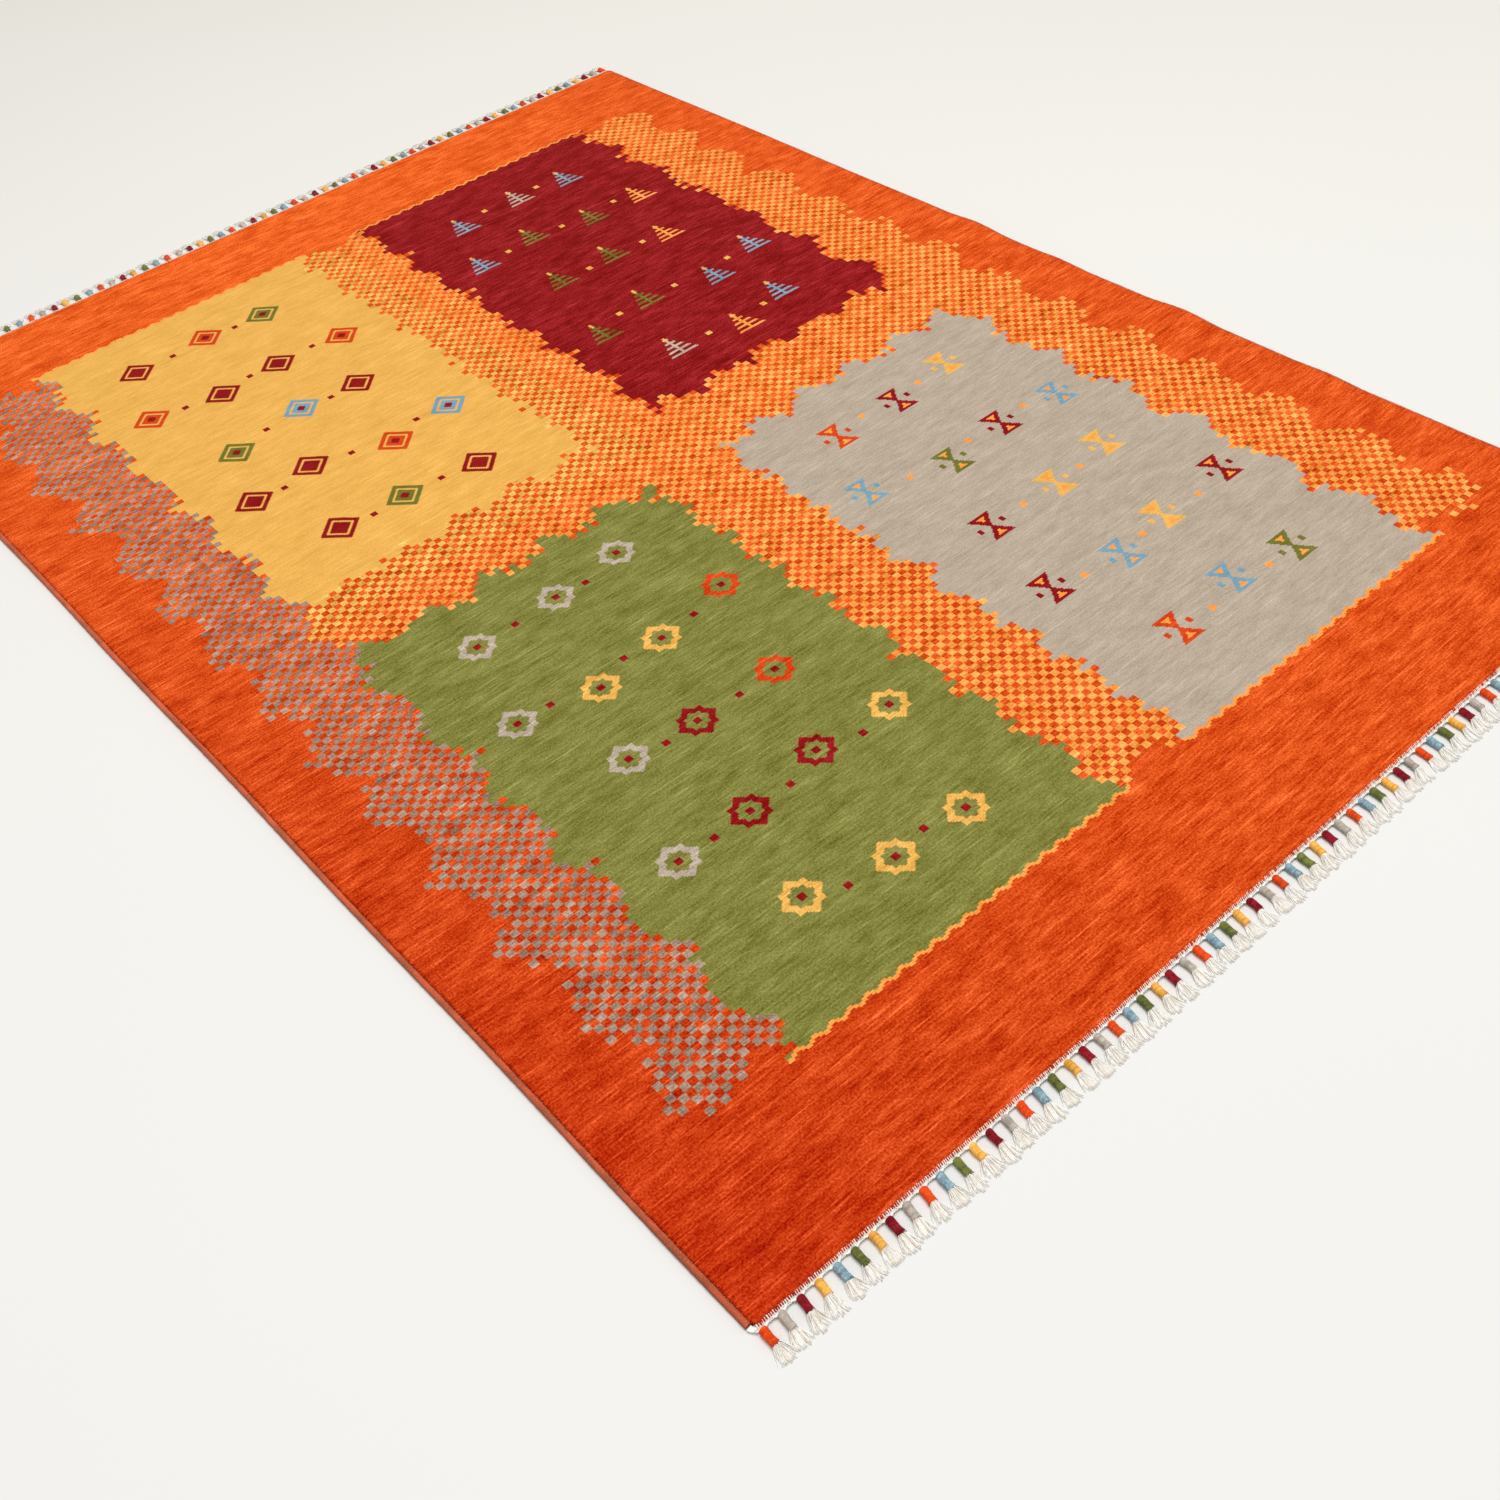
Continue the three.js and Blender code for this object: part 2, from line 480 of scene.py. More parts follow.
wool = {
    "ground": dye(212, 66, 20),
    # The ground's near and far colours: the dye's own change, with painted shade in the near one and
    # painted sheen in the far one
    "groundNearDyeAndShade": dye(188, 43, 6),
    "groundFarDyeAndSheen": dye(238, 97, 27),
    "gold": dye(235, 177, 85),
    "red": dye(142, 15, 20),
    "green": dye(128, 127, 60),
    "grey": dye(183, 167, 148),
    "bandGrey": dye(158, 131, 112),
    "amber": dye(250, 158, 72),
    "blue": dye(120, 160, 178),
    "olive": dye(112, 112, 44),
    "strength": 0.28,  # how uneven the dye is: on the ground, then in each field
    "fieldStrengths": (0.2, 0.12, 0.1, 0.27),
}
# The design in checks of four knots: a plain margin, a chequered band down each side,
# four fields, and a chequered cross between them.
design = {
    "knot": 2.625 * mm,
    "knotsPerCheck": 4,
    "bandOuter": 73,
    "bandInner": 60,
    "crossHalf": 5,
    "blockHalf": 96,
    "motifAcross": 48,
    "motifAlong": 65,
    "shiftAcross": 9,
    "shiftAlong": 19,
    "lastAcross": 80,
    "lastAlong": 140,
    "wobble": 1.3 * mm,
    "wobbleScale": 75,
}


def stepped(along, period, depth):  # a stepped zigzag edge, 0 to depth
    return math.floor(abs(along % period - period / 2) * (2 * depth / period) + 0.5)


def lozenge(a, b):  # nested diamonds, by the knots from their middle
    ring = a + b
    return (ring < 13.5) - (ring < 10) + (ring < 7.5), ring < 3.5


def comb(a, b, along):  # a stem with bars that grow shorter towards its tip
    bar = ((along + 12) % 5 < 2) & (a < (14 - along) * 0.42)
    return ((a < 1) | bar) & (b < 12), (a < 1) & (along > 7) & (b < 12)


def star(a, b):  # eight points: a square and a diamond laid over each other
    square = a | b
    outer = (square < 8) | (a + b < 12.5)
    inner = (square < 5) | (a + b < 7.5)
    return outer - inner, square < 2.5


def hourglass(a, b):  # two triangles tip to tip, with a bead at each side
    cup = (a < b * 0.72 + 0.5) & (b < 11.5)
    hollow = (a < (b - 4) * 0.6) & (b < 9)
    bead = (a > 7) & (a < 10.5) & (b < 2)
    return cup - hollow + bead, hollow & (b > 5)


def choose(finish, sideX, sideY, nearLeft, nearRight, farLeft, farRight):
    near = finish.mix(sideX, nearLeft, nearRight)
    far = finish.mix(sideX, farLeft, farRight)
    return finish.mix(sideY, near, far)


def pick(sideX, sideY, nearLeft, nearRight, farLeft, farRight):
    near = nearLeft * (1 - sideX) + nearRight * sideX
    far = farLeft * (1 - sideX) + farRight * sideX
    return near * (1 - sideY) + far * sideY


def pileFinish():
    finish = Finish("wool_pile", 0.95, 0.06, dye(255, 196, 150), 0.45)
    plain = finish.add("ShaderNodeUVMap", {"uv_map": "plain"}, {})
    unsteady = finish.noise(plain, design["wobbleScale"], 1.0, 1)
    centred = finish.vector("SUBTRACT", unsteady, (0.5, 0.5, 0.5))
    amount = (design["wobble"], design["wobble"], 0.0)
    shifted = finish.vector("MULTIPLY_ADD", centred, amount, plain)
    x, y, _ = finish.split(shifted)
    sideX = x > 0
    sideY = y > 0
    knotX = math.floor(x / design["knot"])
    knotY = math.floor(y / design["knot"])
    check = design["knotsPerCheck"]
    checkX = math.floor(knotX / check) + 0.5
    checkY = math.floor(knotY / check) + 0.5
    acrossChecks = abs(checkX)
    alongChecks = abs(checkY)
    parity = (checkX + checkY) % 2 > 0.5
    ownTone = finish.chance(checkX, checkY, 3)
    rowLuck = math.floor(finish.chance(checkY, sideX, 11) * 2.2)
    columnLuck = math.floor(finish.chance(checkX, sideY, 17) * 2.2)

    # Where the bands and fields lie
    bandOuter = design["bandOuter"] - stepped(checkY, 14, 4) - rowLuck
    bandInner = design["bandInner"] - stepped(checkY + 7, 14, 3) - rowLuck
    crossSide = design["crossHalf"] + stepped(checkY, 10, 2) + rowLuck
    crossEnd = design["crossHalf"] + stepped(checkX, 10, 3) + columnLuck
    blockEnd = design["blockHalf"] - stepped(checkX, 12, 3) - columnLuck
    inBand = (acrossChecks < bandOuter) & (alongChecks < blockEnd)
    endKnots = design["blockHalf"] * check
    scallop = math.floor(abs(knotX % 10 - 5) * 0.5)
    toEnd = endKnots - scallop - abs(knotY + 0.5)
    inField = (acrossChecks < bandInner) & (acrossChecks > crossSide) & (alongChecks > crossEnd)
    outline = inField & (toEnd > 0) & (toEnd < 2)
    inField = inField & (toEnd > 0)
    inCross = (acrossChecks < bandInner) & (alongChecks < blockEnd)
    inChequers = (inBand | inCross) & (1 - inField)

    # The wool's own unevenness: grain, flecks and streaks along the knot rows, blotches, bright threads
    def uneven(along, across, detail):
        return finish.noise(finish.vector("MULTIPLY", plain, (along, across, 1.0)), 1.0, detail) - 0.5

    grain = uneven(350, 350, 3.0)
    fibre = uneven(1300, 1300, 1.0)
    fleck = uneven(48, 290, 2.0)
    streak = uneven(14, 140, 2.0)
    blotch = uneven(20, 46, 2.0)
    broad = uneven(6, 12, 1.0)
    thread = uneven(13, 380, 2.0)
    bright = (thread > 0.07) * (thread - 0.07)
    fine = 2.1 * grain + 1.1 * fibre + 1.3 * fleck
    dyeing = fine + streak + 1.1 * blotch + 0.35 * broad + 4.5 * bright
    # Painted light and dye: the ground is darkest at the near left corner and lightest at the far end,
    # partly the dye and partly painted sheen of the nap and painted shade
    dyeAndSheenShare = 0.73 + 0.145 * x + 0.205 * y - 0.13 * x * y - 0.28 * x * x
    ground = finish.mix(dyeAndSheenShare, wool["groundNearDyeAndShade"], wool["groundFarDyeAndSheen"])

    # The chequers
    sideColour = finish.mix(sideX, wool["bandGrey"], wool["amber"])
    crossColour = choose(finish, sideX, sideY, wool["amber"], wool["amber"], wool["gold"], wool["amber"])
    colour = finish.mix(inBand & parity, ground, sideColour)
    colour = finish.mix(inCross & parity, colour, crossColour)
    fieldColour = choose(finish, sideX, sideY, wool["green"], wool["grey"], wool["gold"], wool["red"])
    colour = finish.mix(inField, colour, fieldColour)

    # The motifs, staggered, each moved a few knots by chance
    middleX = (design["bandInner"] + design["crossHalf"]) / 2 * check
    middleY = (design["blockHalf"] + design["crossHalf"]) / 2 * check
    fieldX = abs(knotX + 0.5) - middleX
    fieldY = abs(knotY + 0.5) - middleY
    across = design["motifAcross"]
    along = design["motifAlong"]
    motifRow = math.floor(fieldY / along + 0.5)
    stagger = (motifRow % 2) * 0.5
    motifColumn = math.floor(fieldX / across + 0.5 + stagger)
    atX = (motifColumn - stagger) * across
    atY = motifRow * along
    seed = sideX + 2 * sideY
    luckX = finish.chance(motifColumn, motifRow, seed + 5)
    luckY = finish.chance(motifColumn, motifRow, seed + 25)
    luckColour = finish.chance(motifColumn, motifRow, seed + 45)
    shiftX = math.floor((luckX - 0.5) * design["shiftAcross"])
    shiftY = math.floor((luckY - 0.5) * design["shiftAlong"])
    a = abs(fieldX - atX - shiftX)
    upright = fieldY - atY - shiftY
    b = abs(upright)
    kept = (abs(atX) < design["lastAcross"]) & (abs(atY) < design["lastAlong"]) & inField
    diamond = lozenge(a, b)
    tree = comb(a, b, upright)
    points = star(a, b)
    glass = hourglass(a, b)
    betweenX = abs(abs(fieldX - atX) - across / 2)
    filler = (betweenX < 1.6) & (abs(fieldY - atY) < 1.6) & (abs(fieldX) < 60)
    figure = kept & pick(sideX, sideY, points[0], glass[0], diamond[0], tree[0])
    heart = kept & (filler | pick(sideX, sideY, points[1], glass[1], diamond[1], tree[1]))
    palettes = [
        [wool["gold"], wool["grey"], wool["ground"], wool["red"]],
        [wool["red"], wool["blue"], wool["gold"], wool["olive"], wool["ground"]],
        [wool["blue"], wool["red"], wool["olive"], wool["ground"]],
        [wool["grey"], wool["amber"], wool["blue"], wool["olive"]],
    ]
    choices = [
        finish.add("ShaderNodeValToRGB", {"stops": palette}, {0: luckColour}) for palette in palettes]
    figureColour = choose(finish, sideX, sideY, *choices)
    heartColour = choose(finish, sideX, sideY, wool["red"], wool["amber"], wool["red"], wool["gold"])
    colour = finish.mix(figure, colour, figureColour)
    colour = finish.mix(heart, colour, heartColour)
    colour = finish.mix(outline, colour, wool["amber"])

    # How strongly each part shows the unevenness, which is laid over the square root of its colour
    fieldStrength = pick(sideX, sideY, *wool["fieldStrengths"])
    strength = wool["strength"] * (1 - inField) + fieldStrength * inField
    paintedEdgeLight = 0.06 * (abs(y) > rug["halfLength"])  # painted light: the outermost tufts and the end walls of the pile are lightened, as if more brightly lit
    tone = strength * dyeing + 0.13 * (ownTone - 0.5) * inChequers + paintedEdgeLight
    root = finish.power(colour, 0.5)
    shaded = finish.vector("ADD", root, finish.scaled(finish.power(colour, 0.12), tone))
    finish.paint(finish.power(shaded, 2.0))
    finish.relief(grain + 0.6 * fibre + 0.5 * fleck + 0.4 * blotch, 0.6, 1.2 * mm)
    return finish.material


def makePile():
    deselectAll()
    piece = closePile()
    piece.name = "rug_pile"
    plain = shapePile(piece)
    mapPile(piece, plain)
    piece.data.shade_smooth()
    piece.data.materials.clear()
    piece.data.materials.append(pileFinish())
    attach(piece, "root")
    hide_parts("pile_field")
    return piece


rugPile = makePile()
print("the pile has", len(rugPile.data.polygons), "faces")


# The rim's own tufts, which hang out between the warps at the ends and over the cords
rimTuft = {
    "pitch": design["knot"],
    "margin": 1.5 * mm,  # how far from the corners the rows begin
    "radius": 1.3 * mm,
    "near": (6.0 * mm, 6.5, 0.0),  # its reach, then its tip's height and its drop in millimetres
    "far": (1.6 * mm, 7.2, 0.9),
    "side": (2.3 * mm, 7.2, 0.0),
}
# A tuft's course: share of its reach, height, and share of its thickness.
tuftCourse = [(-0.6, 8.0, 1.0), (0.45, 8.5, 1.1), (1.0, 0.0, 0.55)]


def rimRow(atEnd, side, dice):  # the tufts of one edge: paths, radii and plain places
    half = pile["halfWidth"] if atEnd else rug["halfLength"]
    edge = rug["halfLength"] if atEnd else pile["halfWidth"]
    along = np.arange(-half + rimTuft["margin"], half - rimTuft["margin"], rimTuft["pitch"])
    count = len(along)
    along = (along + dice.normal(0, 0.25 * mm, count))[:, None]
    share, height, thick = np.array(tuftCourse).T
    where = ("far" if side > 0 else "near") if atEnd else "side"
    reach, height[-1], drop = rimTuft[where]
    height = height - drop
    out = side * (edge + share * reach * dice.uniform(0.86, 1.1, (count, 1)))
    drift = dice.normal(0, 0.35 * mm, (count, 1)) * share
    x, y = (along + drift, out) if atEnd else (out, along + drift)
    z = (height + dice.normal(0, 0.3, (count, 1))) * mm
    radii = rimTuft["radius"] * thick * dice.uniform(0.85, 1.1, (count, 1))
    return np.stack([x, y, z], axis=2), radii


def makeTufts():
    dice = np.random.default_rng(30)
    bundle = Bundle()
    plain = []
    for atEnd in (True, False):
        for side in (-1, 1):
            paths, radii = rimRow(atEnd, side, dice)
            points, faces = tubes(paths, radii, 4)
            plain.append(points[:, :2])
            bundle.take(layDown(points), faces, 0.0)
    piece = bundle.makePiece("rim_tufts")
    mapPile(piece, np.concatenate(plain))
    piece.data.materials.append(rugPile.data.materials[0])
    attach(piece, "root")
    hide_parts("pile_field")
    return piece


rugTufts = makeTufts()
print("the rim's tufts have", len(rugTufts.data.polygons), "faces")


# Yarn wound in turns about Z, as a closed tube that stands on the origin

def windYarn(name, radius, turns, turnHeight, fullness, steps):
    deselectAll()
    bpy.ops.mesh.primitive_circle_add(
        vertices=6, radius=turnHeight / 2, location=(radius, 0, 0), rotation=(math.pi / 2, 0, 0))
    piece = bpy.context.object
    piece.name = name
    bpy.ops.object.transform_apply(location=True, rotation=True)
    bpy.ops.object.mode_set(mode="EDIT")
    bpy.ops.mesh.select_all(action="DESELECT")
    bpy.ops.object.mode_set(mode="OBJECT")
    for vertex in piece.data.vertices:
        vertex.select = vertex.co.x < radius - turnHeight * 0.01
    bpy.ops.object.mode_set(mode="EDIT")
    bpy.ops.mesh.delete(type="VERT")
    bpy.ops.object.mode_set(mode="OBJECT")
    screw = piece.modifiers.new("wind", "SCREW")
    screw.axis = "Z"
    screw.screw_offset = turnHeight
    screw.iterations = turns
    screw.steps = steps
    screw.render_steps = steps
    applyModifiers(piece)
    bpy.ops.object.mode_set(mode="EDIT")
    bpy.ops.mesh.select_all(action="SELECT")
    bpy.ops.mesh.remove_doubles(threshold=turnHeight * 0.02)
    bpy.ops.mesh.fill_holes(sides=0)
    bpy.ops.mesh.select_all(action="SELECT")
    bpy.ops.mesh.normals_make_consistent(inside=False)
    bpy.ops.object.mode_set(mode="OBJECT")
    points = readPoints(piece)
    reach = np.hypot(points[:, 0], points[:, 1])
    flatter = (radius + (reach - radius) * fullness) / reach
    points[:, 0] *= flatter
    points[:, 1] *= flatter
    writePoints(piece, points)
    return piece


# The cords along the long sides

cord = {
    "width": 9 * mm,
    "height": 7.6 * mm,
    "turns": 1000,
    "steps": 8,
    "fullness": 0.55,
    "squareAbove": 0.05,
    "squareBelow": 0.6,
    "ridgeShift": 0.9 * mm,  # its ridge lies this much nearer to the pile
    "outerHalf": 1.2,  # the widths of its two halves, since the ridge is off the middle
    "innerHalf": 0.92,
    "shortWaves": 0.05,  # how much its thickness varies, over 6 mm and over 60 mm
    "longWaves": 0.04,
}


def cordFinish():
    finish = Finish("cord_wool", 0.9, 0.2, dye(255, 190, 160), 0.4)
    place = finish.objectPlace()
    x, y, z = finish.split(place)
    # Painted shade: the cord's colour darkens to brown towards its lower side, where less light falls
    low = 1.9 - 1.9 * z / cord["height"]
    patch = finish.noise(finish.vector("MULTIPLY", place, (1.0, 0.3, 1.0)), 110.0)
    mottle = finish.noise(place, 420.0)
    colour = finish.mix(4.5 * (patch - 0.4), dye(178, 90, 62), dye(224, 101, 66))
    colour = finish.mix(2.0 * (mottle - 0.48), colour, dye(232, 144, 106))
    colour = finish.mix(0.9 * low, colour, dye(160, 92, 70))
    finish.paint(finish.scaled(colour, 0.86 + 0.3 * finish.noise(place, 9.0) + 0.08 * y))
    finish.relief(finish.noise(place, 900.0, 2.0), 0.5, 0.4 * mm)
    return finish.material


def makeCord(side, material):
    name = "side_cord_right" if side > 0 else "side_cord_left"
    radius = cord["height"] / 2
    length = 2 * rug["halfLength"]
    turnHeight = length / (cord["turns"] + 1)
    bare = radius - turnHeight / 2 * cord["fullness"]
    piece = windYarn(name, bare, cord["turns"], turnHeight, cord["fullness"], cord["steps"])
    points = readPoints(piece)
    along = points[:, 2] - turnHeight / 2 - cord["turns"] * turnHeight / 2
    shortWaves = cord["shortWaves"] * lattice(along, 0 * along, 6 * mm, 21)
    longWaves = cord["longWaves"] * lattice(along, 0 * along, 60 * mm, 22)
    uneven = 1 + shortWaves + longWaves
    turn = np.arctan2(points[:, 1], points[:, 0])
    squareness = np.where(turn < 0, cord["squareBelow"], cord["squareAbove"])
    squarer = 1 + squareness * np.sin(2 * turn) ** 2
    x = points[:, 0] / radius * cord["width"] / 2 * np.minimum(uneven * squarer, 1.3)
    x = np.clip(x, -cord["width"] / 2 - 0.1 * mm, cord["width"] / 2 + 0.1 * mm)
    z = np.maximum(points[:, 1] * uneven * squarer + radius, 0)
    x = x * np.where(x * side < 0, cord["innerHalf"], cord["outerHalf"])
    x = x + side * (rug["halfWidth"] - cord["width"] / 2 - cord["ridgeShift"])
    writePoints(piece, layDown(np.column_stack([x, -along, z])))
    piece.data.shade_smooth()
    piece.data.materials.append(material)
    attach(piece, "root")
    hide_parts("cord_right" if side > 0 else "cord_left")
    return piece


cordWool = cordFinish()
cords = [makeCord(side, cordWool) for side in (-1, 1)]
print("the side cords have", sum(len(piece.data.polygons) for piece in cords), "faces")


# The tassels

tassel = {
    "perEnd": 71,
    "first": 12 * mm,
    "root": 7.6 * mm,  # from the strip's inner edge
    "headLength": 22 * mm,
    "headRadius": 5.0 * mm,
    "headTurns": 10,
    "headSteps": 16,
    "headTones": 0.8,  # how much one turn's tone differs from the next
    "headSizes": [(0.93, 1.06), (0.92, 1.1), (0.95, 1.04)],  # least and most, across, along and up
    "headBend": 0.7 * mm,
    "brushLength": 23.8 * mm,
    "brushSpread": 12.0 * mm,
    "locks": 9,
    "strands": 80,
    "strandSides": 3,
    "strandRadius": 0.48 * mm,
    "strandRings": 5,
    "kinds": 9,
    "tuck": 3 * mm,  # how far a brush starts inside its head
    "mouth": 3.9 * mm,  # the half width and the height of the head's open end
    "mouthHeight": 4.3 * mm,
    "lockShorter": 3 * mm,  # how much shorter a lock or a single strand can be
    "strandShorter": 6 * mm,
    "brushSizes": [(0.92, 1.08), (0.97, 1.03), (0.9, 1.05)],
}
# How many degrees the tassels turn from square, and the steps of its slow and quick changes.
lean = {"usual": 7, "slow": 3.2, "slowStep": 0.9, "quick": 1.6, "quickStep": 2.3}
tasselPitch = 2 * (rug["halfWidth"] - tassel["first"]) / (tassel["perEnd"] - 1)
firstColours = ["orange", "grey", "red", "gold", "blue", "green", "gold", "red", "grey"]
laterColours = ["orange", "blue", "green", "gold", "red", "grey"]
yarns = {  # each yarn's own tone, its dark and its light
    "orange": (dye(232, 84, 30), dye(196, 56, 14), dye(248, 118, 62)),
    "grey": (dye(197, 186, 174), dye(155, 145, 133), dye(220, 212, 201)),
    "red": (dye(152, 30, 42), dye(108, 14, 26), dye(184, 58, 70)),
    "gold": (dye(242, 184, 88), dye(208, 146, 56), dye(252, 208, 128)),
    "blue": (dye(148, 172, 179), dye(98, 130, 143), dye(208, 217, 216)),
    "green": (dye(122, 126, 66), dye(84, 88, 42), dye(154, 156, 100)),
}


def leanOf(i):
    settled = lean["usual"] * i / (i + 1)
    slow = lean["slow"] * math.sin(lean["slowStep"] * i)
    return settled + slow + lean["quick"] * math.sin(lean["quickStep"] * i + 1)


def tasselPlace(i, end):
    return end * (rug["halfWidth"] - tassel["first"] - i * tasselPitch)


def tasselColour(i):
    if i < len(firstColours):
        return firstColours[i]
    return laterColours[(i - len(firstColours)) % len(laterColours)]


def sizeOf(dice, ranges):
    return np.array([dice.uniform(least, most) for least, most in ranges])


def standTassel(points, i, end):  # from the tassel's own frame to its place in the end
    turn = math.radians((180 if end > 0 else 0) - leanOf(i))
    rootY = end * (rug["halfLength"] + rug["seam"] + tassel["root"])
    x, y = lay(np.array([tasselPlace(i, end)]), np.array([rootY]))
    cosine = math.cos(turn)
    sine = math.sin(turn)
    return np.column_stack([
        points[:, 0] * cosine - points[:, 1] * sine + x[0],
        points[:, 0] * sine + points[:, 1] * cosine + y[0],
        points[:, 2]])


def modelHead():
    radius = tassel["headRadius"]
    turnHeight = tassel["headLength"] / (tassel["headTurns"] + 1)
    bare = radius - turnHeight / 2 * 0.5
    piece = windYarn("head", bare, tassel["headTurns"], turnHeight, 0.7, tassel["headSteps"])
    points = readPoints(piece)
    down = (points[:, 2] + turnHeight / 2) / tassel["headLength"]
    waist = 1 - 0.08 * np.exp(-((down - 0.62) / 0.16) ** 2)
    rounded = np.sqrt(np.clip(1 - ((0.16 - down) / 0.2).clip(0, 1) ** 2, 0.2, 1))
    flare = 1 + 0.05 * smooth((down - 0.8) / 0.2)
    girth = waist * rounded * flare
    x = points[:, 0] * girth
    z = np.maximum(4.5 * mm + points[:, 1] * girth * 0.88, 0.05 * mm)
    shaped = np.column_stack([x, -down * tassel["headLength"], z])
    faces = readFaces(piece)
    discard(piece)
    return shaped, faces


# The brush's soft middle: share of its length, half width, half height and middle height.
brushCore = [(0.0, 3.7, 3.0, 4.0), (0.2, 4.6, 1.9, 2.5), (0.42, 5.6, 0.8, 1.1), (0.6, 5.2, 0.25, 0.3)]


def modelCore():
    deselectAll()
    bpy.ops.mesh.primitive_circle_add(vertices=10, radius=1, fill_type="NGON")
    bpy.ops.object.mode_set(mode="EDIT")
    for _ in brushCore[1:]:
        bpy.ops.mesh.extrude_region_move(TRANSFORM_OT_translate={"value": (0, 0, 1)})
    bpy.ops.mesh.select_all(action="SELECT")
    bpy.ops.mesh.normals_make_consistent(inside=False)
    bpy.ops.object.mode_set(mode="OBJECT")
    piece = bpy.context.object
    unit = readPoints(piece)
    along, wide, high, middle = np.array(brushCore)[np.rint(unit[:, 2]).astype(int)].T
    tuck = tassel["tuck"]
    y = -(tassel["headLength"] - tuck) - along * (tassel["brushLength"] + tuck)
    shaped = np.column_stack([unit[:, 0] * wide * mm, y, (middle + unit[:, 1] * high) * mm])
    faces = readFaces(piece)
    discard(piece)
    return shaped, faces


def modelBrush(seed):  # strands fan out of the head's open end in loose locks and settle on the floor
    dice = np.random.default_rng(seed)
    count = tassel["strands"]
    angle = dice.uniform(0, 2 * np.pi, count)
    reach = np.sqrt(dice.uniform(0, 1, count)) * tassel["mouth"]
    startX = reach * np.cos(angle)
    startZ = tassel["mouthHeight"] + 0.85 * reach * np.sin(angle)
    locks = tassel["locks"]
    lockPlace = np.linspace(-1, 1, locks) + dice.normal(0, 0.08, locks)
    wish = startX / tassel["mouth"] * 0.8 + dice.normal(0, 0.33, count)
    lock = np.clip(np.rint((wish + 1) / 2 * (locks - 1)), 0, locks - 1).astype(int)
    loose = dice.uniform(0, 1, count) < 0.3  # strands that left their lock
    spread = lockPlace[lock] + dice.normal(0, 0.06, count) + loose * dice.normal(0, 0.16, count)
    tipX = spread * tassel["brushSpread"]
    lockShorter = dice.uniform(0, tassel["lockShorter"], locks)[lock]
    shorter = lockShorter + dice.uniform(0, 1, count) ** 2 * tassel["strandShorter"]
    length = tassel["brushLength"] * (1 - 0.14 * spread**2) - shorter
    tipZ = 0.15 * mm + (startZ - startZ.min()) / np.ptp(startZ) * 0.6 * mm
    t = np.linspace(0, 1, tassel["strandRings"])[None, :]
    curl = dice.normal(0, 0.5 * mm, count)[:, None]
    phase = dice.uniform(0, 2 * np.pi, count)[:, None]
    x = startX[:, None] + (tipX - startX)[:, None] * t ** 0.8
    x = x + curl * np.sin(phase + 4.5 * t) * t
    y = -(tassel["headLength"] - tassel["tuck"]) - (length + tassel["tuck"])[:, None] * t
    z = startZ[:, None] + (tipZ - startZ)[:, None] * smooth(t * 1.35)
    girth = 0.8 + 0.35 * np.sin(t * np.pi * 0.8)
    radii = tassel["strandRadius"] * girth * dice.uniform(0.8, 1.15, (count, 1))
    radii[:, -1] *= 0.3
    z = np.maximum(z, radii)
    sides = tassel["strandSides"]
    points, faces = tubes(np.stack([x, y, z], axis=2), radii, sides)
    # each strand's own tone at random; the beige strands also paint the shade in the lines between
    # strands
    shade = np.repeat(dice.uniform(0, 1, count), tassel["strandRings"] * sides)
    return points, faces, shade


def yarnFinish(name, base, dark, light):
    finish = Finish("yarn_" + name, 0.88, 0.2, dye(255, 235, 220), 0.4)
    place = finish.objectPlace()
    fibre = finish.noise(place, 420.0, 2.0)
    mottle = finish.noise(place, 130.0, 1.0)
    own = finish.attribute("shade")
    colour = finish.mix(1.3 * (mottle - 0.3), dark, base)
    colour = finish.mix(1.6 * (fibre - 0.5), colour, light)
    finish.paint(finish.scaled(colour, 1.14 + 0.3 * own))
    finish.relief(fibre, 0.5, 0.5 * mm)
    return finish.material


def makeHeads():
    points, faces = modelHead()
    dice = np.random.default_rng(40)
    bundles = {name: Bundle() for name in yarns}
    turns = tassel["headTurns"]
    turnOf = np.clip(-points[:, 1] / tassel["headLength"] * (turns + 1), 0, turns).astype(int)
    for end in (-1, 1):
        for i in range(tassel["perEnd"]):
            own = points * sizeOf(dice, tassel["headSizes"])
            bend = dice.normal(0, tassel["headBend"])
            own[:, 0] += bend * np.sin(np.pi * own[:, 1] / tassel["headLength"])
            turnTone = dice.uniform(-tassel["headTones"], tassel["headTones"], turns + 1)[turnOf]
            shade = dice.uniform(0, 1) + turnTone
            bundles[tasselColour(i)].take(standTassel(own, i, end), faces, shade)
    made = []
    for name, bundle in bundles.items():
        piece = bundle.makePiece("tassel_heads_" + name)
        piece.data.materials.append(yarnFinish(name, *yarns[name]))
        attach(piece, "root")
        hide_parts("fringe_near", "fringe_far")
        made.append(piece)
    return made


heads = makeHeads()
print("the wound heads have", sum(len(piece.data.polygons) for piece in heads), "faces")


def cottonFinish():
    finish = Finish("cotton", 0.9, 0.15, (1, 1, 1, 1), 0.4)
    place = finish.objectPlace()
    own = finish.attribute("shade")
    fibre = finish.noise(place, 650.0, 2.0)
    drift = finish.noise(place, 45.0)
    # white to beige by the shade attribute: the cotton's own tone, and in the brushes also painted shade
    # between the strands
    colour = finish.mix(own * own, dye(255, 253, 248), dye(240, 226, 206))
    colour = finish.mix(own - 1.0, colour, dye(196, 186, 174))
    finish.paint(finish.scaled(colour, 0.96 + 0.06 * fibre + 0.06 * drift))
    finish.relief(fibre, 0.35, 0.3 * mm)
    return finish.material


